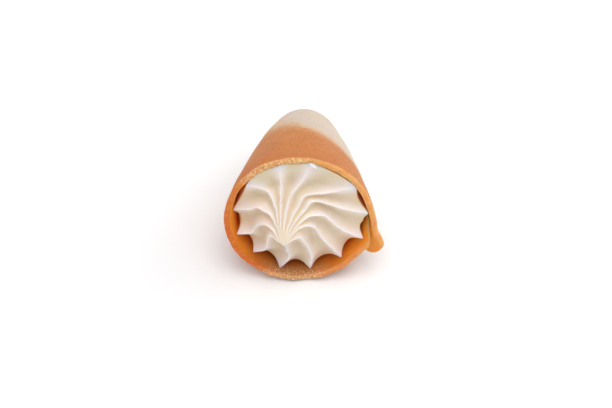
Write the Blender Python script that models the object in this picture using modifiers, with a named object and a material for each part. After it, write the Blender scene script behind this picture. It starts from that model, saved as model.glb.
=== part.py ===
"""Cream horn: a thin biscuit disc rolled into a blunt cone and filled with piped cream.

Metres, +Z up. The horn lies on its side with its open mouth towards -Y, its closed
tip towards +Y and its axis raised by the half angle of the cone, so that the lowest
line of the shell rests on the ground at z = 0. Places on the horn are given as
(depth, angle, radius): depth runs back from the mouth along the axis, and the angle
runs anticlockwise round it as seen from in front of the mouth, from 0 at +X.
"""

import math

import bmesh
import bpy
from mathutils import Vector

# Overall form of the rolled shell, measured on the outside.
MOUTH_RADIUS = 0.0280
TIP_RADIUS = 0.0125
CONE_LENGTH = 0.0579
HORN_LENGTH = 0.0655
BULGE = 0.0013
DOME_START = 0.0510
DOME_POWER = 3.5
AXIS_RISE = math.atan2(MOUTH_RADIUS - TIP_RADIUS, CONE_LENGTH)

# The sheet and the way its two ends overlap.
WALL = 0.0022
LAYER_GAP = 0.0005
OUTER_END = -31.0
OUTER_END_AT_TIP = -42.0
OVERLAP = 37.0
SEAM_SLIT = 5.0
OVERLAP_DEPTH = 0.0420
SEAM_DEPTH = 0.0495
STEP_FROM = -24.0
STEP_TO = 24.0
EDGE_ROUNDING = 0.0006
EDGE_STOP = 0.0080
CORNER_RADIUS = 0.0060
CORNER_CUT = 13.0

# The corner of the outer end stands away from the shell like a lapel.
LAPEL_LIFT = 0.0065
LAPEL_FROM = 1.0
LAPEL_DEPTH = 0.0055
LAPEL_POWER = 1.7

# The mouth is cut a little askew, and the underside is pressed flat where it lies.
RIM_SKEW = 0.0010
RIM_SKEW_ANGLE = 200.0
FLAT_PRESS = 0.0006

# The cream: a twelve-ridged piped rosette that runs on down into the shell.
CREAM_GAP = 0.0005
CREAM_END = 0.0600
CREAM_ROUND_FROM = 0.0460
TIP_DEPTH = 0.0019
TIP_DEPTH_SLANT = 0.0016
TIP_HIGH_SIDE = 60.0
GROOVE_DEPTH = 0.0033
GROOVE_SINK = 0.0031
GROOVE_FADE_FROM = 0.0080
GROOVE_FADE_TO = 0.0280
RIDGE_SHARPNESS = 0.75
WALL_RINGS = 10

# Where the twelve ridges stand, in degrees, at the wall, on the shoulder and near the peak.
RIDGES_AT_WALL = (10, 37, 78, 108, 139, 174, 200, 227, 254, 281, 312, 342)
RIDGES_ON_SHOULDER = (46, 71, 87, 104, 126, 154, 188, 230, 268, 296, 330, 380)
RIDGES_NEAR_PEAK = (52, 80, 98, 114, 135, 157, 188, 232, 270, 305, 350, 393)

# Rings of the rosette from the wall to the peak: centre across, centre up, radius,
# height before the mouth, and depth of the grooves.
SHOULDER_RINGS = (
    (-0.0010, -0.0003, 0.0184, -0.0010, 0.0030),
    (-0.0030, 0.0000, 0.0132, 0.0004, 0.0024),
    (-0.0045, -0.0006, 0.0066, 0.0040, 0.0014),
)
PEAK = (-0.0059, -0.0020, 0.0088)

# Fineness of the two solids.
SHEET_COLUMNS = 56
END_CROWDING = 1.25
SHEET_ROWS = 19
DOME_ROW_SHARE = 0.26
CREAM_SEGMENTS = 72
CREAM_RINGS = 26


def clamp(value):
    return min(1.0, max(0.0, value))


def smooth(value):
    """Ease from 0 to 1 with level ends."""
    value = clamp(value)
    return value * value * (3.0 - 2.0 * value)


def place(depth, angle, radius):
    """Turn a place on the horn into a point, with the mouth's centre at x = y = 0."""
    across = radius * math.cos(math.radians(angle))
    up = radius * math.sin(math.radians(angle))
    y = depth * math.cos(AXIS_RISE) + up * math.sin(AXIS_RISE)
    z = mouth_height() - depth * math.sin(AXIS_RISE) + up * math.cos(AXIS_RISE)
    return Vector((across, y, z))


def outer_radius(depth):
    """Cone with a slight bulge, closed by a dome whose edge runs square to the axis."""
    along = depth / CONE_LENGTH
    cone = MOUTH_RADIUS + (TIP_RADIUS - MOUTH_RADIUS) * along
    cone += BULGE * 4.0 * along * (1.0 - along)
    past = clamp((depth - DOME_START) / (HORN_LENGTH - DOME_START))
    return cone * math.sqrt(1.0 - past**DOME_POWER)


def mouth_height():
    """Height of the mouth's centre that sinks the lowest line by the flat's depth."""
    half = 0.5 * CONE_LENGTH
    lowest = half * math.sin(AXIS_RISE) + outer_radius(half) * math.cos(AXIS_RISE)
    return lowest - FLAT_PRESS


def sheet_ends(depth):
    """Angles of the sheet's outer and inner ends: they overlap, part, and meet."""
    back = clamp(depth / SEAM_DEPTH)
    start = OUTER_END + (OUTER_END_AT_TIP - OUTER_END) * back
    if depth >= SEAM_DEPTH:
        turn = 360.0
    elif depth >= OVERLAP_DEPTH:
        along = (depth - OVERLAP_DEPTH) / (SEAM_DEPTH - OVERLAP_DEPTH)
        turn = 360.0 - SEAM_SLIT * math.sin(math.pi * along)
    else:
        turn = 360.0 + OVERLAP * (1.0 - depth / OVERLAP_DEPTH)
    corner = 1.0 - clamp(depth / CORNER_RADIUS)
    cut = CORNER_CUT * (1.0 - math.sqrt(1.0 - corner**2))
    return start + cut, start + turn - 0.4 * cut


def layer_lift(angle, depth):
    """How far the sheet stands off the plain cone so that its ends pass each other."""
    spread = (WALL + LAYER_GAP) * (1.0 - smooth((depth - OVERLAP_DEPTH) / (SEAM_DEPTH - OVERLAP_DEPTH)))
    if angle < 180.0:
        return spread * (1.0 - smooth((angle - STEP_FROM) / (STEP_TO - STEP_FROM)))
    return -spread * smooth((angle - 360.0 - STEP_FROM) / (STEP_TO - STEP_FROM))


def lapel(angle, depth):
    """Outward curl of the outer end's corner at the mouth."""
    reach = max(0.0, (LAPEL_FROM - angle) / (LAPEL_FROM - OUTER_END))
    return LAPEL_LIFT * reach**LAPEL_POWER * math.exp(-((depth / LAPEL_DEPTH) ** 2))


def rim_skew(angle, depth):
    """The slant of the cut at the mouth, which fades towards the tip."""
    fade = 1.0 - clamp(depth / CONE_LENGTH)
    return -RIM_SKEW * fade * math.cos(math.radians(angle - RIM_SKEW_ANGLE))


def sheet_row_depth(share):
    """Even rows on the cone and rows that close in on the dome's pole."""
    pole = HORN_LENGTH - 0.5 * WALL
    cone_share = 1.0 - DOME_ROW_SHARE
    if share <= cone_share:
        return DOME_START * share / cone_share
    past = (share - cone_share) / DOME_ROW_SHARE
    return DOME_START + (pole - DOME_START) * math.sin(0.5 * math.pi * clamp(past))


def sheet_radius(depth):
    """Radius of the sheet's middle surface."""
    pole = HORN_LENGTH - 0.5 * WALL
    stretch = DOME_START + (depth - DOME_START) * (HORN_LENGTH - DOME_START) / (pole - DOME_START)
    outside = outer_radius(depth if depth < DOME_START else stretch)
    return outside * (1.0 - 0.5 * WALL / outer_radius(min(depth, DOME_START)))


def sheet_point(share_round, share_back):
    """Point of the rolled sheet's middle surface."""
    depth = sheet_row_depth(share_back)
    start, end = sheet_ends(depth)
    angle = start + (end - start) * share_round**END_CROWDING
    radius = sheet_radius(depth) + layer_lift(angle, depth)
    if angle < 180.0:
        radius += lapel(angle, depth)
    point = place(depth + rim_skew(angle, depth), angle, max(radius, 0.0))
    point.z = max(point.z, 0.5 * WALL - 0.1 * FLAT_PRESS)
    return point


def make_wafer_shell():
    """Map a grid on to the rolled sheet, weld the tip, thicken it and round its edges."""
    bpy.ops.mesh.primitive_grid_add(x_subdivisions=SHEET_COLUMNS, y_subdivisions=SHEET_ROWS, size=2.0)
    shell = bpy.context.object
    shell.name = "wafer_shell"
    for vertex in shell.data.vertices:
        share_round = 0.5 + 0.5 * vertex.co.x
        share_back = 0.5 + 0.5 * vertex.co.y
        vertex.co = sheet_point(share_round, share_back)
    weld_points(shell)
    solid = shell.modifiers.new("wall", "SOLIDIFY")
    solid.thickness = WALL
    solid.offset = 0.0
    solid.use_even_offset = False
    keep_result(shell)
    soften_edges(shell)
    for vertex in shell.data.vertices:
        vertex.co.z = max(vertex.co.z, 0.0)
    return shell


def weld_points(item):
    """Join the points that meet at the pole and along the closed part of the seam."""
    mesh = bmesh.new()
    mesh.from_mesh(item.data)
    bmesh.ops.remove_doubles(mesh, verts=mesh.verts, dist=0.00001)
    bmesh.ops.dissolve_degenerate(mesh, edges=mesh.edges, dist=0.00001)
    bmesh.ops.recalc_face_normals(mesh, faces=mesh.faces)
    mesh.to_mesh(item.data)
    mesh.free()


def soften_edges(shell):
    """Round the sheet's cut edges at the mouth and along the overlap, short of the slit."""
    mesh = bmesh.new()
    mesh.from_mesh(shell.data)
    last = OVERLAP_DEPTH * math.cos(AXIS_RISE) - EDGE_STOP
    edges = [
        edge
        for edge in mesh.edges
        if edge.calc_face_angle(0.0) > math.radians(50.0) and max(v.co.y for v in edge.verts) < last
    ]
    bmesh.ops.bevel(mesh, geom=edges, offset=EDGE_ROUNDING, segments=2, profile=0.5, affect="EDGES")
    mesh.to_mesh(shell.data)
    mesh.free()


def keep_result(item):
    """Replace the mesh by what its modifiers make of it."""
    bpy.context.view_layer.update()
    evaluated = item.evaluated_get(bpy.context.evaluated_depsgraph_get())
    item.data = bpy.data.meshes.new_from_object(evaluated)
    item.modifiers.clear()


def ridge_angle(angles, ridge):
    """Angle of a place between the ridges, eased round the full turn."""
    count = len(angles)
    low = math.floor(ridge)
    part = ridge - low
    steps = [angles[(low + i) % count] + 360.0 * ((low + i) // count) for i in (-1, 0, 1, 2)]
    return cubic(steps, part)


def cubic(values, part):
    """Catmull-Rom curve from the second to the third of four values."""
    before, first, second, after = values
    bend = 2.0 * before - 5.0 * first + 4.0 * second - after
    turn = 3.0 * (first - second) + after - before
    return first + 0.5 * part * (second - before + part * (bend + part * turn))


def cream_wall_radius(angle, depth):
    """Largest radius that stays clear of the shell and of its inner end."""
    wrapped = (angle + 180.0) % 360.0 - 180.0
    inner_end = sheet_ends(depth)[1] - 360.0
    spread = -layer_lift(wrapped + 360.0, depth) if wrapped > STEP_FROM else 0.0
    spread *= 1.0 - smooth((wrapped - inner_end - 2.5) / 12.0)
    inside = sheet_radius(min(depth, HORN_LENGTH - WALL)) - 0.5 * WALL
    rounded = clamp((depth - CREAM_ROUND_FROM) / (CREAM_END - CREAM_ROUND_FROM))
    return (inside - spread - CREAM_GAP) * math.sqrt(1.0 - rounded**3)


def groove(ridge):
    """0 on a ridge's crest and 1 in the middle of the groove beside it."""
    return abs(math.sin(math.pi * ridge)) ** RIDGE_SHARPNESS


def tip_depth(angle):
    return TIP_DEPTH - TIP_DEPTH_SLANT * math.cos(math.radians(angle - TIP_HIGH_SIDE))


def cream_wall_point(ridge, share):
    """Point of the cream against the wall, from its deep end to the ridges' tips."""
    angle = ridge_angle(RIDGES_AT_WALL, ridge)
    top = tip_depth(angle) + GROOVE_SINK * groove(ridge)
    depth = CREAM_END + (top - CREAM_END) * share**1.6
    fade = 1.0 - smooth((depth - GROOVE_FADE_FROM) / (GROOVE_FADE_TO - GROOVE_FADE_FROM))
    radius = cream_wall_radius(angle, depth) - GROOVE_DEPTH * fade * groove(ridge)
    return depth, angle, max(radius, 0.0)


def ring_place(ring, angles, ridge):
    """Point of one ring of the rosette as (across, up, height)."""
    across, up, radius, height, deep = ring
    angle = math.radians(ridge_angle(angles, ridge))
    sunk = deep * groove(ridge)
    return (
        across + (radius - 0.3 * sunk) * math.cos(angle),
        up + (radius - 0.3 * sunk) * math.sin(angle),
        height - 0.95 * sunk,
    )


def cream_top_point(ridge, share):
    """Point of the rosette's top, from the ridges' tips at the wall to the peak."""
    depth, angle, radius = cream_wall_point(ridge, 1.0)
    angle = math.radians(angle)
    half_way = [0.5 * (a + b) for a, b in zip(RIDGES_AT_WALL, RIDGES_ON_SHOULDER)]
    rings = [
        (radius * math.cos(angle), radius * math.sin(angle), -depth),
        ring_place(SHOULDER_RINGS[0], half_way, ridge),
        ring_place(SHOULDER_RINGS[1], RIDGES_ON_SHOULDER, ridge),
        ring_place(SHOULDER_RINGS[2], RIDGES_NEAR_PEAK, ridge),
        PEAK,
    ]
    rings.append([2.0 * PEAK[i] - rings[3][i] for i in range(3)])
    rings.insert(0, rings[0])
    step = min(3, int(share * 4.0))
    part = share * 4.0 - step
    across, up, height = (cubic([ring[i] for ring in rings[step : step + 4]], part) for i in range(3))
    return -height, math.degrees(math.atan2(up, across)), math.hypot(across, up)


def cream_point(ridge, share):
    """Point of the whole filling for a share from its deep end (0) to its peak (1)."""
    wall_share = WALL_RINGS / CREAM_RINGS
    if share <= wall_share:
        point = place(*cream_wall_point(ridge, share / wall_share))
    else:
        point = place(*cream_top_point(ridge, (share - wall_share) / (1.0 - wall_share)))
    point.z = max(point.z, WALL + CREAM_GAP)
    return point


def make_cream_filling():
    """Map a sphere on to the filling: its meridians are the ridges and grooves."""
    bpy.ops.mesh.primitive_uv_sphere_add(segments=CREAM_SEGMENTS, ring_count=CREAM_RINGS, radius=1.0)
    cream = bpy.context.object
    cream.name = "cream_filling"
    for vertex in cream.data.vertices:
        turn = math.atan2(vertex.co.y, vertex.co.x) / (2.0 * math.pi)
        share = 1.0 - math.acos(max(-1.0, min(1.0, vertex.co.z))) / math.pi
        vertex.co = cream_point(len(RIDGES_AT_WALL) * turn, share)
    weld_points(cream)
    return cream


def paint(item, name, colour, roughness):
    """Give an object its own plain material."""
    material = bpy.data.materials.new(name)
    material.use_nodes = True
    surface = material.node_tree.nodes["Principled BSDF"]
    surface.inputs["Base Color"].default_value = colour
    surface.inputs["Roughness"].default_value = roughness
    surface.inputs["Metallic"].default_value = 0.0
    item.data.materials.clear()
    item.data.materials.append(material)


def stand_on_origin(items):
    """Shift the horn so that the middle of its bounding box's underside is the origin."""
    points = [vertex.co for item in items for vertex in item.data.vertices]
    low = Vector(min(point[i] for point in points) for i in range(3))
    high = Vector(max(point[i] for point in points) for i in range(3))
    shift = Vector((-0.5 * (low.x + high.x), -0.5 * (low.y + high.y), -low.z))
    for item in items:
        for vertex in item.data.vertices:
            vertex.co += shift


def shade(item):
    item.data.shade_smooth()
    item.data.set_sharp_from_angle(angle=math.radians(60.0))


def collect(items, name):
    """Move the parts into a collection named for the object."""
    group = bpy.data.collections.new(name)
    bpy.context.scene.collection.children.link(group)
    for item in items:
        for old in list(item.users_collection):
            old.objects.unlink(item)
        group.objects.link(item)


for leftover in list(bpy.data.objects):
    bpy.data.objects.remove(leftover, do_unlink=True)

wafer_shell = make_wafer_shell()
cream_filling = make_cream_filling()
paint(wafer_shell, "baked_wafer", (0.62, 0.30, 0.11, 1.0), 0.75)
paint(cream_filling, "whipped_cream", (0.88, 0.80, 0.70, 1.0), 0.45)
stand_on_origin([wafer_shell, cream_filling])
shade(wafer_shell)
shade(cream_filling)
collect([wafer_shell, cream_filling], "cream_horn")
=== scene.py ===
import math

import bmesh
import bpy
import numpy as np
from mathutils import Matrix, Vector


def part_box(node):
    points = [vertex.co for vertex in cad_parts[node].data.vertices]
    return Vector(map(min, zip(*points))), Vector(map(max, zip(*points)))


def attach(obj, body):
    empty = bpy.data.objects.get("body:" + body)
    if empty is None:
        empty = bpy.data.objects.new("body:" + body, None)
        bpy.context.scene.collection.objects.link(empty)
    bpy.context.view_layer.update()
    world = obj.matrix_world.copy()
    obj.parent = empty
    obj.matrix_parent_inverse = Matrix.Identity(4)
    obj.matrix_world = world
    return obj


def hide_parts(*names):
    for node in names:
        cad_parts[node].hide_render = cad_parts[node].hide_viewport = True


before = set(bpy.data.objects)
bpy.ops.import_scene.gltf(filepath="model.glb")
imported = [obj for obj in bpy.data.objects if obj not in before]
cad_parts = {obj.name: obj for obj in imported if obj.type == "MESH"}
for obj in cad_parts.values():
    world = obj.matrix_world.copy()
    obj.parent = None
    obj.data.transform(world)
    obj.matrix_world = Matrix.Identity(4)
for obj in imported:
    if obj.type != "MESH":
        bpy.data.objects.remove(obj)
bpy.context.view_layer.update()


# --------------------------------------------------------------------------------------
# The rolled wafer. A thin soft biscuit disc, baked flat until its rim browned round a
# pale middle, then rolled warm into a blunt cone. The ends of the roll lie over each
# other below the right side, and the corner of the outer end curls out at the mouth.
# --------------------------------------------------------------------------------------

# Overall form of the roll, measured on the outside.
MOUTH_RADIUS = 0.0280
TIP_RADIUS = 0.0129
CONE_LENGTH = 0.0579
HORN_LENGTH = 0.0665
BULGE = 0.0013
DOME_START = 0.0522
DOME_POWER = 3.5
AXIS_RISE = math.atan2(MOUTH_RADIUS - TIP_RADIUS, CONE_LENGTH)
FLAT_PRESS = 0.0006

# The sheet, its overlap and the place where the overlap closes.
WALL = 0.0022
LAYER_GAP = 0.00012
OUTER_END = -37.5
OUTER_END_AT_TIP = -42.0
OVERLAP = 49.0
OVERLAP_DEPTH = 0.0420
SEAM_DEPTH = 0.0495
STEP_FROM = -24.0
STEP_TO = 25.0
FEATHER = 0.0060
CORNER_RADIUS = 0.0066
CORNER_CUT = 13.0
INNER_CORNER_RADIUS = 0.0110
INNER_CORNER_CUT = 35.0

# The outer end's corner is bent outwards beyond a line that leaves the rim and the end
# at these distances from the corner; then the slant and wander of the cut rim.
CURL_ALONG_RIM = 0.0183
CURL_ALONG_END = 0.0140
CURL_RADIUS = 0.0025
CURL_TURN = 1.12
PULLED_FROM = -40.0
PULLED_TO = -16.0
PULLED_SHARE = 0.25
SIDE_BULGE = 0.00015
SIDE_BULGE_DEPTH = 0.0200
RIM_SKEW = 0.0010
RIM_SKEW_ANGLE = 200.0
RIM_WANDER = 0.00016
EDGE_ROUND = 0.0010

# Unevenness of the baked sheet, and the open pores that steam left in it.
BUCKLE = 0.00010
BUCKLE_SIZE = 0.016
CRUMB_RELIEF = 0.00011
CRUMB_SIZE = 0.0017
PORE_COUNT = 40
PORE_RADIUS = 0.00055
PORE_DEPTH = 0.00028

# The pale middle of the disc: its centre on the horn and its reach, as straight distance.
PALE_DEPTH = 0.0465
PALE_ANGLE = -30.0
PALE_REACH = 0.0354
PALE_EDGE = 0.0056

ROUND_COLUMNS = 460
BACK_ROWS = 100


def smooth(value):
    """Ease from 0 to 1 with level ends: 3x^2 - 2x^3."""
    value = np.clip(value, 0.0, 1.0)
    return value * value * (3.0 - 2.0 * value)


def outer_radius(depth):
    """Cone plus a parabola's bulge, times the root of 1 - x^3.5 over the closing dome."""
    along = depth / CONE_LENGTH
    cone = MOUTH_RADIUS + (TIP_RADIUS - MOUTH_RADIUS) * along
    cone = cone + BULGE * 4.0 * along * (1.0 - along)
    past = np.clip((depth - DOME_START) / (HORN_LENGTH - DOME_START), 0.0, 1.0)
    return cone * np.sqrt(1.0 - past**DOME_POWER)


# The mouth's centre: one mouth radius in from the shell's left side, one horn length
# before its tip (which stands a hair past it), and as high as lays the cone's lowest line on the ground.
wafer_low, wafer_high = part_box("wafer_shell")
horn_line = np.linspace(0.0, HORN_LENGTH, 2000)
tip_reach = np.max(horn_line * math.cos(AXIS_RISE) + outer_radius(horn_line) * math.sin(AXIS_RISE))
MOUTH_X = wafer_low.x + 0.994 * MOUTH_RADIUS
MOUTH_Y = wafer_high.y + 0.0005 - tip_reach
MOUTH_Z = (
    0.5 * CONE_LENGTH * math.sin(AXIS_RISE)
    + float(outer_radius(0.5 * CONE_LENGTH)) * math.cos(AXIS_RISE)
    - FLAT_PRESS
)


def place(depth, angle, radius):
    """Points from places on the horn: depth back from the mouth along the axis, angle in
    degrees anticlockwise round it seen from the front, and radius from it."""
    across = radius * np.cos(np.radians(angle))
    up = radius * np.sin(np.radians(angle))
    y = depth * math.cos(AXIS_RISE) + up * math.sin(AXIS_RISE)
    z = up * math.cos(AXIS_RISE) - depth * math.sin(AXIS_RISE)
    return np.stack(np.broadcast_arrays(MOUTH_X + across, MOUTH_Y + y, MOUTH_Z + z), axis=-1)


def ripples(points, size, seed, waves=26):
    """Smooth random field with unit spread: the sum of sine waves about one size long
    that run in random directions."""
    draw = np.random.default_rng(seed)
    heading = draw.normal(size=(waves, 3))
    heading /= np.linalg.norm(heading, axis=1, keepdims=True)
    heading *= draw.uniform(0.65, 1.5, size=(waves, 1)) * 2.0 * math.pi / size
    start = draw.uniform(0.0, 2.0 * math.pi, size=waves)
    return np.sin(points @ heading.T + start).sum(axis=-1) * math.sqrt(2.0 / waves)


def sheet_ends(depth):
    """Angles of the sheet's outer and inner ends: the outer one drifts as it goes back,
    the overlap shrinks to nothing, and each corner is rounded off with a power curve."""
    start = OUTER_END + (OUTER_END_AT_TIP - OUTER_END) * np.clip(depth / SEAM_DEPTH, 0.0, 1.0)
    turn = 360.0 + OVERLAP * np.clip(1.0 - depth / OVERLAP_DEPTH, 0.0, 1.0)
    cut = CORNER_CUT * (1.0 - np.clip(depth / CORNER_RADIUS, 0.0, 1.0)) ** 2.4
    inner_cut = INNER_CORNER_CUT * (1.0 - np.clip(depth / INNER_CORNER_RADIUS, 0.0, 1.0)) ** 2.4
    return start + cut, start + turn - inner_cut


def seam_closed(depth):
    """0 where the ends of the roll lie free over each other, 1 where they are one."""
    return smooth((depth - OVERLAP_DEPTH) / (SEAM_DEPTH - OVERLAP_DEPTH))


def inner_thickness(angle, depth):
    """Thickness of the inner layer, which thins towards its end as pressed dough
    does: the wall times 1 - (1 - x)^2 over the feathered part."""
    to_end = np.radians(sheet_ends(depth)[1] - angle) * MOUTH_RADIUS
    thin = (1.0 - np.clip(to_end / FEATHER, 0.0, 1.0)) ** 2
    return WALL * (1.0 - 0.8 * thin * (1.0 - seam_closed(depth)))


def outer_layer_lift(angle, depth):
    """Step outwards by one layer towards the sheet's outer end; it fades with the overlap."""
    spread = (WALL + LAYER_GAP) * (1.0 - seam_closed(depth))
    return spread * (1.0 - smooth((angle - STEP_FROM) / (STEP_TO - STEP_FROM)))


def curl(angle, depth, radius):
    """Shifts of angle, depth and radius that bend the outer end's corner outwards: beyond
    the bend line it follows a cylinder through CURL_TURN radians, then goes straight on."""
    end = OUTER_END + (OUTER_END_AT_TIP - OUTER_END) * depth / SEAM_DEPTH
    along_rim = np.radians(angle - end) * radius
    pull_rim, pull_end = 1.0 / CURL_ALONG_RIM, 1.0 / CURL_ALONG_END
    steep = math.hypot(pull_rim, pull_end)
    past = np.maximum(1.0 - along_rim * pull_rim - depth * pull_end, 0.0) / steep
    turn = np.minimum(past / CURL_RADIUS, CURL_TURN)
    straight = past - CURL_RADIUS * turn
    back = past - CURL_RADIUS * np.sin(turn) - straight * np.cos(turn)
    lift = CURL_RADIUS * (1.0 - np.cos(turn)) + straight * np.sin(turn)
    return np.stack([np.degrees(back * pull_rim / steep / radius), back * pull_end / steep, lift])


def layer_lift(angle, depth):
    """Lift of the sheet's middle off the plain cone: the outer layer steps out, and the
    inner layer lies against the inside of it and is pulled outwards with its curl."""
    inner = outer_layer_lift(angle - 360.0, depth)
    inner = inner - (WALL + LAYER_GAP) * (1.0 - seam_closed(depth))
    inner = inner + 0.5 * (WALL - inner_thickness(angle, depth))
    pulled = smooth((angle - 360.0 - PULLED_FROM) / (PULLED_TO - PULLED_FROM))
    inner = inner + PULLED_SHARE * pulled * curl(np.maximum(angle - 360.0, PULLED_FROM), depth, sheet_radius(depth))[2]
    return np.where(angle < 180.0, outer_layer_lift(angle, depth), inner)


def side_bulge(angle, depth):
    """The mouth stands out a little on the side of the overlap."""
    facing = np.maximum(np.cos(np.radians(angle)), 0.0)
    return SIDE_BULGE * facing**2 * np.exp(-((depth / SIDE_BULGE_DEPTH) ** 2))


def rim_slant(angle, depth):
    """Shift along the axis that slants the mouth's cut; it fades towards the tip."""
    fade = 1.0 - np.clip(depth / CONE_LENGTH, 0.0, 1.0)
    return -RIM_SKEW * fade * np.cos(np.radians(angle - RIM_SKEW_ANGLE))


def sheet_radius(depth):
    """Radius of the sheet's middle surface: the outside less half a wall, scaled so that
    the dome still ends in a pole."""
    pole = HORN_LENGTH - 0.5 * WALL
    stretch = DOME_START + (depth - DOME_START) * (HORN_LENGTH - DOME_START) / (pole - DOME_START)
    outside = outer_radius(np.where(depth < DOME_START, depth, stretch))
    return outside * (1.0 - 0.5 * WALL / outer_radius(np.minimum(depth, DOME_START)))


def sheet_rows(count):
    """Depths of the sheet's rows: close together at the cut rim, then even, then closing
    in on the dome's pole as a sine does."""
    share = np.linspace(0.0, 1.0, count + 1) ** 1.45
    pole = HORN_LENGTH - 0.5 * WALL
    cone_share = 0.74
    past = np.clip((share - cone_share) / (1.0 - cone_share), 0.0, 1.0)
    on_dome = DOME_START + (pole - DOME_START) * np.sin(0.5 * math.pi * past)
    return np.where(share <= cone_share, DOME_START * share / cone_share, on_dome)


def sheet_middle(depth, share_round):
    """Middle surface of the rolled sheet, and each point's angle and radius."""
    start, end = sheet_ends(depth)
    angle = start + (end - start) * share_round
    radius = sheet_radius(depth) + layer_lift(angle, depth) + side_bulge(angle, depth)
    on_outer_end = angle < 180.0
    more_angle, more_depth, lift = curl(angle, depth, np.maximum(radius, 0.001)) * on_outer_end
    depth = depth + more_depth + rim_slant(angle, depth)
    points = place(depth, angle + more_angle, radius + lift)
    rim_fade = np.exp(-((depth / 0.004) ** 2))
    wander = RIM_WANDER * rim_fade * (ripples(points, 0.011, 3) + 0.6 * ripples(points, 0.0032, 4))
    points = points + wander[..., None] * (place(1.0, 0.0, 0.0) - place(0.0, 0.0, 0.0))
    low = 0.5 * WALL - 0.1 * FLAT_PRESS
    points[..., 2] = soft_floor(points[..., 2], low)
    return points, angle, radius


def soft_floor(height, low, ease=0.0003):
    """The larger of a height and a lowest height, with the corner between them eased."""
    above = height - low
    return low + 0.5 * (above + np.sqrt(above**2 + ease**2)) - 0.5 * ease * np.exp(-np.abs(above) / ease)


def surface_normals(points, pole_normal):
    """Cross product of the grid's two slopes, made unit length; the last row takes the pole's own normal."""
    back = np.gradient(points, axis=0)
    round_ = np.gradient(points, axis=1)
    normals = np.cross(round_, back)
    length = np.linalg.norm(normals, axis=-1, keepdims=True)
    normals = normals / np.maximum(length, 1e-12)
    normals[-1] = pole_normal
    return normals


def edge_round(distance, radius):
    """Share of the full thickness at a distance from a cut edge: a blunt round nose."""
    inside = 1.0 - np.clip(distance / radius, 0.0, 1.0)
    return (1.0 - inside**2.4) ** (1.0 / 2.4)


def weld_mesh(name, points, faces, marks, gap=1e-6):
    """Mesh object from points and faces, with coincident points merged, all faces turned
    outwards, and each mark kept as an attribute of its points."""
    mesh = bpy.data.meshes.new(name)
    mesh.from_pydata(points, [], faces)
    for mark, values in marks.items():
        layer = mesh.attributes.new(mark, "FLOAT", "POINT")
        layer.data.foreach_set("value", np.ascontiguousarray(values, dtype=np.float32))
    work = bmesh.new()
    work.from_mesh(mesh)
    bmesh.ops.remove_doubles(work, verts=work.verts, dist=gap)
    bmesh.ops.dissolve_degenerate(work, edges=work.edges, dist=gap)
    bmesh.ops.recalc_face_normals(work, faces=work.faces)
    work.to_mesh(mesh)
    work.free()
    mesh.shade_smooth()
    piece = bpy.data.objects.new(name, mesh)
    bpy.context.scene.collection.objects.link(piece)
    return piece


def grid_faces(rows, columns, first=0, flip=False):
    """Corner numbers of the quads of a grid of points stored row by row."""
    row, column = np.meshgrid(np.arange(rows - 1), np.arange(columns - 1), indexing="ij")
    corner = first + row * columns + column
    quads = np.stack([corner, corner + 1, corner + columns + 1, corner + columns], axis=-1)
    quads = quads.reshape(-1, 4)
    return quads[:, ::-1] if flip else quads


def strip_faces(one_side, other_side):
    """Quads between two equally long rows of point numbers."""
    return np.stack([one_side[:-1], other_side[:-1], other_side[1:], one_side[1:]], axis=-1)


def nearest_pore(points, centres):
    """Distance of each point from the nearest pore's centre."""
    flat = points.reshape(-1, 3)
    best = np.full(len(flat), 1.0)
    for centre in centres:
        best = np.minimum(best, np.linalg.norm(flat - centre, axis=1))
    return best.reshape(points.shape[:-1])


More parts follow.
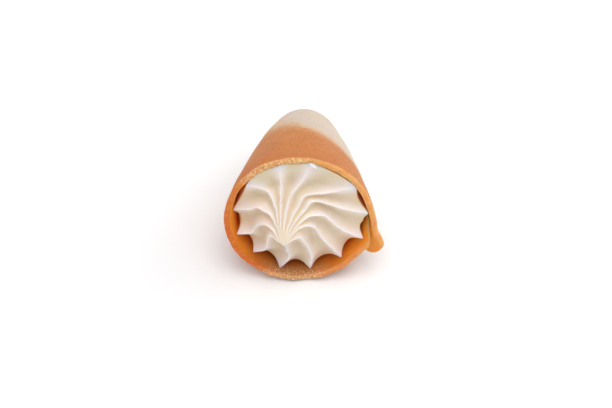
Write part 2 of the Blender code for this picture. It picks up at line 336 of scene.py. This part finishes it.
def roll_wafer():
    """Both sides of the sheet at half a wall from its middle, rounded together at the
    cut edges, and joined where the seam is closed."""
    share = np.linspace(0.0, 1.0, ROUND_COLUMNS + 1)
    share = share - 0.78 * np.sin(2.0 * math.pi * share) / (2.0 * math.pi)
    depth, share_round = np.meshgrid(sheet_rows(BACK_ROWS), share, indexing="ij")
    middle, angle, radius = sheet_middle(depth, share_round)
    back_way = place(1.0, 0.0, 0.0) - place(0.0, 0.0, 0.0)
    normal = surface_normals(middle, back_way)
    closed_row = depth[:, 0] >= SEAM_DEPTH
    joint = normal[closed_row, 0] + normal[closed_row, -1]
    joint /= np.linalg.norm(joint, axis=-1, keepdims=True)
    normal[closed_row, 0] = normal[closed_row, -1] = joint
    if np.sum(normal[5, :, 2] * (middle[5, :, 2] - MOUTH_Z)) < 0.0:
        normal = -normal
    normal[-1] = back_way

    layer_curl = curl(np.minimum(angle, 60.0), depth, np.maximum(radius, 0.001))[2]
    start, end = sheet_ends(depth)
    to_end = np.radians(np.minimum(angle - start, end - angle)) * radius
    end_round = edge_round(to_end, EDGE_ROUND)
    end_round = end_round + (1.0 - end_round) * seam_closed(depth)
    rim_round = edge_round(depth / math.cos(AXIS_RISE), EDGE_ROUND)
    half = 0.5 * inner_thickness(angle, depth) * rim_round * end_round

    edge_distance = np.where(depth < OVERLAP_DEPTH, np.minimum(depth, to_end), depth)
    crumb = 1.0 - smooth(edge_distance / 0.0021)
    facing_top = np.cos(np.radians(angle - 110.0)) - math.cos(math.radians(30.0))
    facing_table = np.cos(np.radians(angle - 268.0)) - math.cos(math.radians(26.0))
    crumbly = crumb * smooth(4.0 * np.maximum(2.0 * facing_top, 3.0 * facing_table) + 0.5)
    torn_inside = smooth(6.0 * facing_table + 0.5) * (1.0 - smooth(depth / 0.0075))
    relief = CRUMB_RELIEF * ripples(middle, CRUMB_SIZE, 7) + 0.5 * CRUMB_RELIEF * ripples(middle, 0.0009, 8)
    buckle = BUCKLE * ripples(middle, BUCKLE_SIZE, 5) * smooth(depth / 0.004 + 0.3)
    buckle = buckle * (1.0 - smooth((depth - 0.056) / 0.008))

    draw = np.random.default_rng(21)
    pore_depth = draw.uniform(0.004, 0.060, PORE_COUNT)
    pore_angle = draw.uniform(150.0, 330.0, PORE_COUNT)
    pores = place(pore_depth, pore_angle, outer_radius(pore_depth))
    pit = np.exp(-((nearest_pore(middle + 0.5 * WALL * normal, pores) / PORE_RADIUS) ** 2))
    pit = pit * smooth((edge_distance - 0.002) / 0.002)

    rough = crumb * relief * rim_round * end_round * (0.25 + 0.75 * crumbly)
    outside = middle + (half + rough + buckle - PORE_DEPTH * pit)[..., None] * normal
    inside = middle - (half + rough - buckle)[..., None] * normal
    outside[..., 2] = soft_floor(outside[..., 2], 0.0, 0.0001)
    inside[..., 2] = np.maximum(inside[..., 2], 0.0)

    rows, columns = depth.shape
    number = np.arange(rows * columns).reshape(rows, columns)
    below = number + rows * columns
    open_rows = np.count_nonzero(~closed_row) + 1
    faces = [
        grid_faces(rows, columns),
        grid_faces(rows, columns, first=rows * columns, flip=True),
        strip_faces(number[:open_rows, 0], below[:open_rows, 0]),
        strip_faces(below[:open_rows, -1], number[:open_rows, -1]),
    ]
    points = np.concatenate([outside.reshape(-1, 3), inside.reshape(-1, 3)])

    pale_centre = place(PALE_DEPTH, PALE_ANGLE, outer_radius(np.array(PALE_DEPTH)))
    from_pale = np.linalg.norm(outside - pale_centre, axis=-1)
    browned = smooth((from_pale - PALE_REACH + PALE_EDGE) / (2.0 * PALE_EDGE))
    # How far each point faces the light, which comes from the right and a little above; it drives painted light and
    # shade.
    lit_side = 0.5 + 0.5 * np.cos(np.radians(angle - 30.0))
    curled = smooth(layer_curl / 0.0012) * (angle < 180.0)
    # Painted shade: the outer rim on the side turned away from the light is painted a darker, deeper orange.
    painted_rim_shade = (1.0 - lit_side) * np.exp(-((depth / 0.009) ** 2))
    low_side = np.exp(-((((angle - 262.0 + 180.0) % 360.0 - 180.0) / 52.0) ** 2))
    marks = {
        "browned": np.concatenate([browned.ravel(), np.ones(browned.size)]),
        "inner_side": np.concatenate([0.5 * crumb.ravel(), 1.0 - 0.5 * crumb.ravel()]),
        "cut_edge": np.concatenate([crumb.ravel(), crumb.ravel()]),
        "pore": np.concatenate([pit.ravel(), np.zeros(pit.size)]),
        "crumbly": np.concatenate([crumbly.ravel(), np.maximum(crumbly, 0.6 * torn_inside).ravel()]),
        "curled": np.concatenate([curled.ravel(), curled.ravel()]),
        "painted_rim_shade": np.concatenate([painted_rim_shade.ravel(), painted_rim_shade.ravel()]),
        "low_side": np.concatenate([low_side.ravel(), low_side.ravel()]),
        "lit_side": np.concatenate([lit_side.ravel(), lit_side.ravel()]),
    }
    return weld_mesh("rolled_wafer", points, np.concatenate(faces), marks)


def add_node(tree, kind, sockets=None, **settings):
    """New shader node; a socket's value is a number, a colour or another node's output."""
    node = tree.nodes.new(kind)
    for key, value in settings.items():
        setattr(node, key, value)
    for key, value in (sockets or {}).items():
        if isinstance(value, bpy.types.NodeSocket):
            tree.links.new(value, node.inputs[key])
        else:
            node.inputs[key].default_value = value
    return node


def sum_of(tree, operation, first, second, clamp=False):
    """Result of one arithmetic step on two numbers or outputs."""
    node = add_node(tree, "ShaderNodeMath", {0: first, 1: second}, operation=operation, use_clamp=clamp)
    return node.outputs[0]


def stretch(tree, value, low, high, to_low=0.0, to_high=1.0):
    """Value carried from one range to another, held at the ends."""
    sockets = {"Value": value, "From Min": low, "From Max": high, "To Min": to_low, "To Max": to_high}
    return add_node(tree, "ShaderNodeMapRange", sockets, interpolation_type="SMOOTHSTEP").outputs[0]


def blend_colours(tree, share, first, second, way="MIX"):
    """Colour between two colours."""
    node = add_node(tree, "ShaderNodeMix", {0: share, 6: first, 7: second}, data_type="RGBA", blend_type=way)
    return node.outputs[2]


def cloud(tree, where, scale, detail=2.0, roughness=0.5):
    """Soft noise from 0 to 1."""
    sockets = {"Vector": where, "Scale": scale, "Detail": detail, "Roughness": roughness}
    return add_node(tree, "ShaderNodeTexNoise", sockets).outputs["Fac"]


def mark_of(tree, name):
    return add_node(tree, "ShaderNodeAttribute", attribute_name=name).outputs["Fac"]


def baked_wafer():
    """Pale to brown by the baking, deep orange inside the roll, with fine grain, blotches and dark pores. The cut edge
    is lighter crumb with painted light and shade on it: tan towards the light, dark orange away from it. The outer rim
    away from the light is painted in darker orange shade."""
    material = bpy.data.materials.new("baked_wafer")
    material.use_nodes = True
    tree = material.node_tree
    skin = tree.nodes["Principled BSDF"]
    where = add_node(tree, "ShaderNodeTexCoord").outputs["Object"]
    blotch = cloud(tree, where, 95.0, 3.0)
    grain = cloud(tree, where, 900.0, 3.0, 0.6)
    fine = cloud(tree, where, 2600.0, 2.0, 0.6)

    uneven = sum_of(tree, "MULTIPLY", sum_of(tree, "SUBTRACT", blotch, 0.5), 0.22)
    ramp = add_node(tree, "ShaderNodeValToRGB", {"Fac": sum_of(tree, "ADD", mark_of(tree, "browned"), uneven)})
    stops = ramp.color_ramp.elements
    stops[0].position, stops[0].color = 0.0, (0.64, 0.525, 0.43, 1.0)
    stops[1].position, stops[1].color = 1.0, (0.575, 0.208, 0.066, 1.0)
    for position, colour in ((0.35, (0.66, 0.47, 0.32, 1.0)), (0.70, (0.63, 0.29, 0.125, 1.0))):
        stop = stops.new(position)
        stop.color = colour
    outer = ramp.outputs["Color"]
    rosy = stretch(tree, cloud(tree, where, 60.0, 2.0), 0.35, 0.65, 0.0, 0.35)
    rosy = sum_of(tree, "MULTIPLY", rosy, mark_of(tree, "browned"))
    outer = blend_colours(tree, rosy, outer, (0.48, 0.170, 0.078, 1.0))
    mottle = cloud(tree, where, 380.0, 3.0, 0.6)
    brown = stretch(tree, mark_of(tree, "browned"), 0.0, 1.0, 0.25, 1.0)
    mottled = sum_of(tree, "MULTIPLY", stretch(tree, mottle, 0.42, 0.70, 0.0, 0.34), brown)
    outer = blend_colours(tree, mottled, outer, (0.45, 0.145, 0.040, 1.0))
    grained = sum_of(tree, "MULTIPLY", stretch(tree, grain, 0.46, 0.66, 0.0, 0.42), brown)
    outer = blend_colours(tree, grained, outer, (0.42, 0.14, 0.04, 1.0))

    inner = blend_colours(tree, blotch, (0.84, 0.31, 0.030, 1.0), (0.76, 0.24, 0.016, 1.0))
    inner = blend_colours(tree, stretch(tree, grain, 0.5, 0.75, 0.0, 0.30), inner, (0.52, 0.14, 0.02, 1.0))
    # Painted shade on the outer rim on the side away from the light.
    outer = blend_colours(tree, mark_of(tree, "painted_rim_shade"), outer, (0.55, 0.135, 0.022, 1.0))
    # The inside of the horn is darker towards the bottom.
    inner = blend_colours(tree, sum_of(tree, "MULTIPLY", mark_of(tree, "low_side"), 0.9), inner, (0.34, 0.090, 0.010, 1.0))
    colour = blend_colours(tree, stretch(tree, mark_of(tree, "inner_side"), 0.35, 0.65), outer, inner)

    # Painted light and shade on the cut edge: tan on the side towards the light, dark orange on the side away from it.
    lit = mark_of(tree, "lit_side")
    edge = blend_colours(tree, lit, (0.51, 0.140, 0.022, 1.0), (0.71, 0.43, 0.17, 1.0))
    edge = blend_colours(tree, stretch(tree, mottle, 0.40, 0.68, 0.0, 0.40), edge, (0.58, 0.20, 0.045, 1.0))
    edge = blend_colours(tree, stretch(tree, grain, 0.50, 0.70, 0.0, 0.25), edge, (0.85, 0.55, 0.25, 1.0))
    tab = blend_colours(tree, stretch(tree, blotch, 0.35, 0.65), (0.80, 0.34, 0.045, 1.0), (0.76, 0.39, 0.095, 1.0))
    colour = blend_colours(tree, sum_of(tree, "MULTIPLY", mark_of(tree, "curled"), 0.9), colour, tab)
    colour = blend_colours(tree, stretch(tree, mark_of(tree, "cut_edge"), 0.15, 0.95, 0.0, 0.8), colour, edge)
    specks = cloud(tree, where, 1500.0, 2.0, 0.5)
    crumbly = mark_of(tree, "crumbly")
    colour = blend_colours(tree, sum_of(tree, "MULTIPLY", crumbly, 0.6), colour, (0.68, 0.42, 0.20, 1.0))
    light_speck = sum_of(tree, "MULTIPLY", crumbly, stretch(tree, specks, 0.48, 0.66, 0.0, 0.75))
    colour = blend_colours(tree, light_speck, colour, (0.90, 0.66, 0.38, 1.0))
    dark_speck = sum_of(tree, "MULTIPLY", crumbly, stretch(tree, specks, 0.46, 0.34, 0.0, 0.45))
    colour = blend_colours(tree, dark_speck, colour, (0.38, 0.13, 0.03, 1.0))
    colour = blend_colours(tree, sum_of(tree, "MULTIPLY", mark_of(tree, "pore"), 0.75), colour, (0.34, 0.09, 0.02, 1.0))
    tree.links.new(colour, skin.inputs["Base Color"])

    relief = sum_of(tree, "ADD", sum_of(tree, "MULTIPLY", grain, 0.7), sum_of(tree, "MULTIPLY", fine, 0.3))
    bump = add_node(tree, "ShaderNodeBump", {"Height": relief, "Distance": 0.00022, "Strength": 0.7})
    tree.links.new(bump.outputs["Normal"], skin.inputs["Normal"])
    tree.links.new(stretch(tree, grain, 0.2, 0.8, 0.58, 0.78), skin.inputs["Roughness"])
    skin.inputs["Specular IOR Level"].default_value = 0.22
    skin.inputs["Subsurface Weight"].default_value = 0.85
    skin.inputs["Subsurface Radius"].default_value = (1.0, 0.30, 0.05)
    skin.inputs["Subsurface Scale"].default_value = 0.0056
    return material


wafer = roll_wafer()
wafer.data.materials.append(baked_wafer())
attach(wafer, "root")
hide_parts("wafer_shell")


# --------------------------------------------------------------------------------------
# The cream. Stiff whipped cream pressed into the shell through a closed star nozzle with
# twelve teeth. The last turn swept the ridges round and the lift of the nozzle drew them
# together into a small peak left of and below the middle.
# --------------------------------------------------------------------------------------

CREAM_GAP = 0.0002
CREAM_END = 0.0600
CREAM_ROUND_FROM = 0.0460
GROOVE_DEPTH = 0.0033
GROOVE_SINK = 0.0031
GROOVE_FADE_FROM = 0.0025
GROOVE_FADE_TO = 0.0110
RIDGE_SHARPNESS = 0.82
CREST_ROUND = 0.10

# How deep the groove after each ridge is at the wall: under the top of the mouth the
# cream was pressed up against the shell.
GROOVE_AT_WALL = (0.50, 0.16, 0.04, 0.00, 0.52, 0.9, 1.0, 1.0, 1.0, 1.0, 1.0, 0.75)

# Tips of the twelve ridges at the wall: angle in degrees, depth, and distance in from it.
RIDGE_TIPS = (
    (8, 0.0015, 0.0000), (36, 0.0015, -0.0006), (80, 0.0002, -0.0012), (107, 0.0006, -0.0003),
    (142, 0.0010, 0.0008), (174, 0.0027, 0.0005), (200, 0.0021, 0.0005), (225, 0.0026, 0.0009),
    (254, 0.0023, 0.0002), (281, 0.0027, 0.0005), (312, 0.0026, 0.0007), (341, 0.0019, 0.0001),
)

# Rings of the rosette from the wall to the peak: centre across, centre up, radius,
# height before the mouth, depth of the grooves, and the angles of the twelve ridges.
ROSETTE_RINGS = (
    (-0.0010, -0.0003, 0.0184, -0.0010, 0.0031,
     (19, 46, 83, 108, 132, 166, 201, 231, 262, 290, 318, 347)),
    (-0.0030, 0.0000, 0.0132, 0.0004, 0.0028,
     (47, 65, 87, 106, 123, 154, 192, 229, 265, 299, 332, 372)),
    (-0.0040, -0.0010, 0.0095, 0.0022, 0.0021,
     (50, 67, 91, 106, 119, 141, 176, 220, 267, 312, 362, 391)),
    (-0.0048, -0.0018, 0.0060, 0.0046, 0.0012,
     (52, 69, 91, 107, 118, 131, 160, 202, 268, 336, 380, 394)),
    (-0.0052, -0.0032, 0.0026, 0.0072, 0.0004,
     (52, 69, 91, 107, 118, 131, 160, 202, 268, 336, 380, 394)),
)
PEAK = (-0.0053, -0.0050, 0.0088)

COLUMNS_PER_RIDGE = 26
WALL_ROWS = 46
TOP_ROWS = 120


def cubic(before, first, second, after, part):
    """Catmull-Rom curve from the second to the third of four values."""
    bend = 2.0 * before - 5.0 * first + 4.0 * second - after
    turn = 3.0 * (first - second) + after - before
    return first + 0.5 * part * (second - before + part * (bend + part * turn))


def round_ridges(values, ridge, turn=0.0):
    """Value at a place between the ridges: a Catmull-Rom curve through the ridges' own
    values that carries on round the turn, each full turn adding the same amount."""
    values = np.asarray(values, float)
    count = len(values)
    low = np.floor(ridge).astype(int)
    steps = [values[(low + i) % count] + turn * ((low + i) // count) for i in (-1, 0, 1, 2)]
    return cubic(*steps, ridge - low)


def groove(ridge):
    """0 on a ridge's crest and 1 in the groove beside it: a power of |sin| below one,
    which makes thin ridges and wide round grooves, with the crest's point blunted."""
    power = 0.5 * RIDGE_SHARPNESS
    blunt = CREST_ROUND**2
    wave = (np.sin(math.pi * ridge) ** 2 + blunt) ** power
    return (wave - blunt**power) / ((1.0 + blunt) ** power - blunt**power)


def cream_wall_radius(angle, depth):
    """Radius that stays clear of the shell and of its inner layer, closing at the bottom."""
    wrapped = (angle + 180.0) % 360.0 - 180.0
    inner_end = sheet_ends(depth)[1] - 360.0
    layer = np.where(wrapped < inner_end, inner_thickness(wrapped + 360.0, depth) + LAYER_GAP, 0.0)
    layer = layer * (1.0 - seam_closed(depth))
    inside = sheet_radius(np.minimum(depth, HORN_LENGTH - WALL)) - 0.5 * WALL
    inside = inside + outer_layer_lift(wrapped, depth) + side_bulge(wrapped, depth) - layer
    rounded = np.clip((depth - CREAM_ROUND_FROM) / (CREAM_END - CREAM_ROUND_FROM), 0.0, 1.0)
    return (inside - CREAM_GAP) * np.sqrt(1.0 - rounded**3)


def cream_wall(ridge, share):
    """Depth, angle and radius of the cream against the wall, from its deep end to the
    tips of the ridges; the grooves fade out as they go down."""
    tip_angle, tip_depth, tip_inset = np.transpose(RIDGE_TIPS)
    angle = round_ridges(tip_angle, ridge, 360.0)
    strength = np.array(GROOVE_AT_WALL)[np.floor(ridge).astype(int) % len(GROOVE_AT_WALL)]
    top = round_ridges(tip_depth, ridge) + GROOVE_SINK * strength * groove(ridge)
    depth = CREAM_END + (top - CREAM_END) * share**1.6
    fade = 1.0 - smooth((depth - GROOVE_FADE_FROM) / (GROOVE_FADE_TO - GROOVE_FADE_FROM))
    inset = round_ridges(tip_inset, ridge) * (1.0 - (1.0 - strength) * groove(ridge))
    inset = np.where(inset > 0.0, inset * fade, inset * share**60)
    radius = cream_wall_radius(angle, depth) - inset
    radius = radius - GROOVE_DEPTH * strength * fade * groove(ridge)
    return depth, angle, np.maximum(radius, 0.0)


def rosette_ring(ring, ridge):
    """One ring of the rosette as (across, up, height before the mouth); where the ridges
    crowd together, the grooves between them are shallower."""
    across, up, radius, height, deep, angles = ring
    angle = np.radians(round_ridges(angles, ridge, 360.0))
    spread = round_ridges(angles, ridge + 0.5, 360.0) - round_ridges(angles, ridge - 0.5, 360.0)
    sunk = deep * np.clip(spread / 30.0, 0.14, 1.15) * groove(ridge)
    reach = radius - 0.3 * sunk
    return np.stack([across + reach * np.cos(angle), up + reach * np.sin(angle), height - 0.95 * sunk])


def cream_top(ridge, share):
    """Depth, angle and radius on the rosette: a Catmull-Rom curve for each place between
    the ridges, through the wall's tip ring, the rosette's rings and the peak."""
    depth, angle, radius = cream_wall(ridge, np.ones_like(ridge))
    turn = np.radians(angle)
    peak = np.array(PEAK).reshape(3, 1, 1) + np.zeros((1, *ridge.shape))
    wall_ring = np.stack([radius * np.cos(turn), radius * np.sin(turn), -depth])
    rings = [wall_ring, wall_ring, *(rosette_ring(ring, ridge) for ring in ROSETTE_RINGS), peak]
    rings.append(2.0 * peak - rings[-2])
    steps = len(rings) - 3
    step = np.minimum(steps - 1, (share * steps).astype(int))
    part = share * steps - step
    across, up, height = sum(
        np.where(step == i, cubic(*rings[i : i + 4], part), 0.0) for i in range(steps)
    )
    return -height, np.degrees(np.arctan2(up, across)), np.hypot(across, up)


def pipe_cream():
    """The wall part and the rosette as one closed surface over ridge and share."""
    count = len(RIDGE_TIPS)
    turn = np.linspace(0.0, 1.0, COLUMNS_PER_RIDGE, endpoint=False)
    turn = turn - 0.62 * np.sin(2.0 * math.pi * turn) / (2.0 * math.pi)
    ridges = (np.arange(count)[:, None] + turn[None, :]).ravel()
    ridges = np.append(ridges, ridges[0] + count)
    wall_share = np.linspace(0.0, 1.0, WALL_ROWS, endpoint=False)
    top_share = np.linspace(0.0, 1.0, TOP_ROWS + 1)
    lower = place(*cream_wall(*np.meshgrid(ridges, wall_share)))
    upper = place(*cream_top(*np.meshgrid(ridges, top_share)))
    points = np.concatenate([lower, upper])
    inner = np.concatenate([np.zeros(WALL_ROWS), smooth(top_share * 5.0)])[:, None]
    points += (0.00007 * inner * ripples(points, 0.0045, 31))[..., None]
    points[:, -1] = points[:, 0]
    points[..., 2] = np.maximum(points[..., 2], WALL + CREAM_GAP)
    grooved = np.broadcast_to(groove(ridges), points.shape[:2])
    # Painted orange reflection of the wafer on the cream's sides against the wall, strongest deep down, and painted
    # shadow in the grooves next to the rim.
    down = np.concatenate([1.0 - wall_share, np.zeros(TOP_ROWS + 1)])[:, None]
    by_wall = np.concatenate([np.ones(WALL_ROWS), 1.0 - smooth(top_share / 0.10)])[:, None]
    down = np.maximum(down, 0.020 * by_wall * grooved)
    rows, columns = points.shape[:2]
    marks = {"groove": grooved.ravel(), "deep": down.ravel()}
    return weld_mesh("piped_cream", points.reshape(-1, 3), grid_faces(rows, columns), marks)


def whipped_cream():
    """Ivory white, smooth with a soft gloss, letting light in a few millimetres. The grooves are painted darker and
    warmer as painted shade, and the crests a cool white as painted highlight. Painted orange reflection of the wafer
    lies on the cream against the wall."""
    material = bpy.data.materials.new("whipped_cream")
    material.use_nodes = True
    tree = material.node_tree
    skin = tree.nodes["Principled BSDF"]
    where = add_node(tree, "ShaderNodeTexCoord").outputs["Object"]
    soft = cloud(tree, where, 220.0, 2.0)
    fine = cloud(tree, where, 1500.0, 3.0, 0.6)
    # Painted shade and highlight: darker, warmer grooves and cool white crests, with a little random tone from the
    # noise.
    groove_shade_and_tone = sum_of(tree, "ADD", mark_of(tree, "groove"), sum_of(tree, "MULTIPLY", sum_of(tree, "SUBTRACT", soft, 0.5), 0.5), clamp=True)
    colour = blend_colours(tree, groove_shade_and_tone, (0.87, 0.80, 0.80, 1.0), (0.785, 0.655, 0.475, 1.0))
    # Painted orange reflection and painted shadow where the deep mark is set.
    colour = blend_colours(tree, stretch(tree, mark_of(tree, "deep"), 0.004, 0.045, 0.0, 0.92), colour, (0.97, 0.50, 0.12, 1.0))
    tree.links.new(colour, skin.inputs["Base Color"])
    bump = add_node(tree, "ShaderNodeBump", {"Height": fine, "Distance": 0.00004, "Strength": 0.4})
    tree.links.new(bump.outputs["Normal"], skin.inputs["Normal"])
    tree.links.new(stretch(tree, soft, 0.2, 0.8, 0.34, 0.5), skin.inputs["Roughness"])
    skin.inputs["Specular IOR Level"].default_value = 0.45
    skin.inputs["Subsurface Weight"].default_value = 0.80
    skin.inputs["Subsurface Radius"].default_value = (1.0, 0.68, 0.36)
    skin.inputs["Subsurface Scale"].default_value = 0.0040
    return material


cream = pipe_cream()
cream.data.materials.append(whipped_cream())
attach(cream, "root")
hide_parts("cream_filling")


# --------------------------------------------------------------------------------------
# The crumbs. Grains of baked biscuit that broke off where the sheet was cut and stuck to
# the rim, most of them above and below the mouth. Each is a rough little lump.
# --------------------------------------------------------------------------------------

CRUMB_COUNT = 170
CRUMB_SMALLEST = 0.00010
CRUMB_LARGEST = 0.00030


def rough_lumps(centres, sizes, seed):
    """Points and faces of one icosahedron at each centre, its corners moved at random."""
    golden = 0.5 * (1.0 + math.sqrt(5.0))
    corners = [(a, b * golden, 0.0) for b in (1, -1) for a in (-1, 1)]
    corners += [(0.0, a, b * golden) for b in (1, -1) for a in (-1, 1)]
    corners += [(b * golden, 0.0, a) for b in (1, -1) for a in (-1, 1)]
    faces = np.array((
        (0, 11, 5), (0, 5, 1), (0, 1, 7), (0, 7, 10), (0, 10, 11), (1, 5, 9), (5, 11, 4),
        (11, 10, 2), (10, 7, 6), (7, 1, 8), (3, 9, 4), (3, 4, 2), (3, 2, 6), (3, 6, 8),
        (3, 8, 9), (4, 9, 5), (2, 4, 11), (6, 2, 10), (8, 6, 7), (9, 8, 1),
    ))
    draw = np.random.default_rng(seed)
    squeeze = draw.uniform(0.7, 1.2, size=(len(centres), 12, 1)) * draw.uniform(0.7, 1.3, size=(len(centres), 1, 3))
    corners = np.array(corners) / math.hypot(1.0, golden)
    points = centres[:, None] + sizes[:, None, None] * corners * squeeze
    numbers = faces + 12 * np.arange(len(centres))[:, None, None]
    return points.reshape(-1, 3), numbers.reshape(-1, 3)


def scatter_crumbs():
    """Lumps half sunk into the rim at random points of its crumbly parts."""
    mesh = wafer.data
    count = len(mesh.vertices)
    points, normals = np.empty(3 * count), np.empty(3 * count)
    mesh.vertices.foreach_get("co", points)
    mesh.vertices.foreach_get("normal", normals)
    crumbly = np.empty(count)
    mesh.attributes["crumbly"].data.foreach_get("value", crumbly)
    draw = np.random.default_rng(52)
    wanted = np.flatnonzero(crumbly > 0.45)
    chosen = draw.choice(wanted, CRUMB_COUNT, replace=False)
    sizes = CRUMB_SMALLEST + (CRUMB_LARGEST - CRUMB_SMALLEST) * draw.random(CRUMB_COUNT) ** 2
    centres = points.reshape(-1, 3)[chosen] + 0.3 * sizes[:, None] * normals.reshape(-1, 3)[chosen]
    centres[:, 2] = np.maximum(centres[:, 2], 1.6 * sizes)
    points, faces = rough_lumps(centres, sizes, 53)
    return weld_mesh("biscuit_crumbs", points, faces, {})


def dry_crumb():
    """Straw yellow to brown from grain to grain, dull."""
    material = bpy.data.materials.new("dry_crumb")
    material.use_nodes = True
    tree = material.node_tree
    grit = tree.nodes["Principled BSDF"]
    where = add_node(tree, "ShaderNodeTexCoord").outputs["Object"]
    shade = stretch(tree, cloud(tree, where, 700.0, 1.0), 0.35, 0.65)
    tree.links.new(blend_colours(tree, shade, (0.60, 0.27, 0.09, 1.0), (0.88, 0.64, 0.36, 1.0)), grit.inputs["Base Color"])
    grit.inputs["Roughness"].default_value = 0.75
    grit.inputs["Specular IOR Level"].default_value = 0.3
    return material


crumbs = scatter_crumbs()
crumbs.data.materials.append(dry_crumb())
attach(crumbs, "root")


# --------------------------------------------------------------------------------------
# The cream's specks. A short thread of cream that the nozzle left across the rim above the
# middle of the mouth, and a few drops no bigger than a grain of salt on the lower lip.
# --------------------------------------------------------------------------------------

# Each speck's two ends as (across, up, height before the mouth), and its half thickness.
CREAM_SPECKS = (
    ((0.0040, 0.0266, 0.0006), (0.0062, 0.0247, 0.0004), 0.00050),
    ((-0.0018, -0.0268, 0.0008), (-0.0013, -0.0268, 0.0009), 0.00026),
    ((0.0031, -0.0262, 0.0006), (0.0033, -0.0263, 0.0007), 0.00012),
    ((-0.0072, -0.0254, 0.0005), (-0.0071, -0.0254, 0.0006), 0.00011),
)
SPECK_ROWS = 14
SPECK_COLUMNS = 16


def drop_specks():
    """One spindle for each speck: rings round the line between its ends, as wide as
    sin^0.7 of the way along, a little lumpy."""
    along, turn = np.meshgrid(np.linspace(0.0, 1.0, SPECK_ROWS), np.linspace(0.0, 2.0 * math.pi, SPECK_COLUMNS), indexing="ij")
    points, faces = [], []
    for first, last, thick in CREAM_SPECKS:
        ends = [place(-height, math.degrees(math.atan2(up, across)), math.hypot(across, up)) for across, up, height in (first, last)]
        line = ends[1] - ends[0]
        way = line / np.linalg.norm(line)
        side = np.cross(way, (0.0, 0.0, 1.0))
        side /= np.linalg.norm(side)
        rise = np.cross(side, way)
        width = thick * np.maximum(np.sin(math.pi * along), 0.0) ** 0.7
        reach = (along - 0.5) * (np.linalg.norm(line) + 1.6 * thick)
        spindle = 0.5 * (ends[0] + ends[1]) + reach[..., None] * way
        spindle = spindle + (width * np.cos(turn))[..., None] * side + (width * np.sin(turn))[..., None] * rise
        spindle = spindle + (0.12 * thick * ripples(spindle, 2.2 * thick, 61) * np.sin(math.pi * along))[..., None] * rise
        spindle[:, -1] = spindle[:, 0]
        faces.append(grid_faces(SPECK_ROWS, SPECK_COLUMNS, first=sum(len(part) for part in points)))
        points.append(spindle.reshape(-1, 3))
    return weld_mesh("cream_specks", np.concatenate(points), np.concatenate(faces), {}, gap=1e-7)


specks = drop_specks()
specks.data.materials.append(cream.data.materials[0])
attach(specks, "root")


# --------------------------------------------------------------------------------------
# The table: a plain white sheet of card that runs out of sight on every side.
# --------------------------------------------------------------------------------------

TABLE_REACH = 1.6


def lay_table():
    """One flat square at ground level."""
    corners = TABLE_REACH * np.array([(-1, -1, 0), (1, -1, 0), (1, 1, 0), (-1, 1, 0)], float)
    mesh = bpy.data.meshes.new("table")
    mesh.from_pydata(corners, [], [(0, 1, 2, 3)])
    table = bpy.data.objects.new("table", mesh)
    bpy.context.scene.collection.objects.link(table)
    material = bpy.data.materials.new("white_card")
    material.use_nodes = True
    tree = material.node_tree
    card = tree.nodes["Principled BSDF"]
    where = add_node(tree, "ShaderNodeTexCoord").outputs["Object"]
    shade = stretch(tree, cloud(tree, where, 6.0), 0.3, 0.7, 0.0, 1.0)
    tree.links.new(blend_colours(tree, shade, (0.93, 0.93, 0.94, 1.0), (0.95, 0.95, 0.955, 1.0)), card.inputs["Base Color"])
    card.inputs["Roughness"].default_value = 0.8
    card.inputs["Specular IOR Level"].default_value = 0.1
    mesh.materials.append(material)
    return table


lay_table()


# --------------------------------------------------------------------------------------
# The light: one broad softbox above and a little in front, a weaker one to the right and behind, and white walls all
# round.
# --------------------------------------------------------------------------------------


def hang_softbox(name, where, size, power):
    """Square area lamp that faces the horn."""
    lamp = bpy.data.lights.new(name, "AREA")
    lamp.size = size
    lamp.energy = power
    holder = bpy.data.objects.new(name, lamp)
    bpy.context.scene.collection.objects.link(holder)
    holder.location = where
    aim = np.array([0.0, 0.0, 0.03]) - np.array(where)
    from mathutils import Vector
    holder.rotation_euler = Vector(aim).to_track_quat("-Z", "Y").to_euler()
    return holder


hang_softbox("softbox_above", (0.06, -0.16, 0.84), 0.60, 3.3)
hang_softbox("softbox_right", (0.60, 0.25, 0.50), 0.40, 1.2)
room = bpy.data.worlds.new("white_room")
room.use_nodes = True
room.node_tree.nodes["Background"].inputs["Color"].default_value = (1.0, 1.0, 1.0, 1.0)
room.node_tree.nodes["Background"].inputs["Strength"].default_value = 0.68
bpy.context.scene.world = room
bpy.context.scene.view_settings.view_transform = "Standard"


# --------------------------------------------------------------------------------------
# The camera, looking down at half a right angle into the mouth.
# --------------------------------------------------------------------------------------

CAMERA_ELEVATION = math.radians(51.0)
CAMERA_TURN = math.radians(2.3)
CAMERA_DISTANCE = 0.60
CAMERA_LENS = 94.55
CAMERA_SHIFT = (0.0124, 0.0286)


def set_camera():
    """Camera on a line through the mouth's centre, with its right side level."""
    from mathutils import Matrix, Vector
    towards = Vector((
        math.sin(CAMERA_TURN) * math.cos(CAMERA_ELEVATION),
        -math.cos(CAMERA_TURN) * math.cos(CAMERA_ELEVATION),
        math.sin(CAMERA_ELEVATION),
    ))
    right = Vector((math.cos(CAMERA_TURN), math.sin(CAMERA_TURN), 0.0))
    up = towards.cross(right)
    lens = bpy.data.cameras.new("camera")
    lens.lens = CAMERA_LENS
    lens.sensor_width = 36.0
    lens.shift_x, lens.shift_y = CAMERA_SHIFT
    lens.clip_start = 0.01
    camera = bpy.data.objects.new("camera", lens)
    bpy.context.scene.collection.objects.link(camera)
    turned = Matrix((right, up, towards)).transposed().to_4x4()
    turned.translation = Vector((MOUTH_X, MOUTH_Y, MOUTH_Z)) + CAMERA_DISTANCE * towards
    camera.matrix_world = turned
    bpy.context.scene.camera = camera


set_camera()
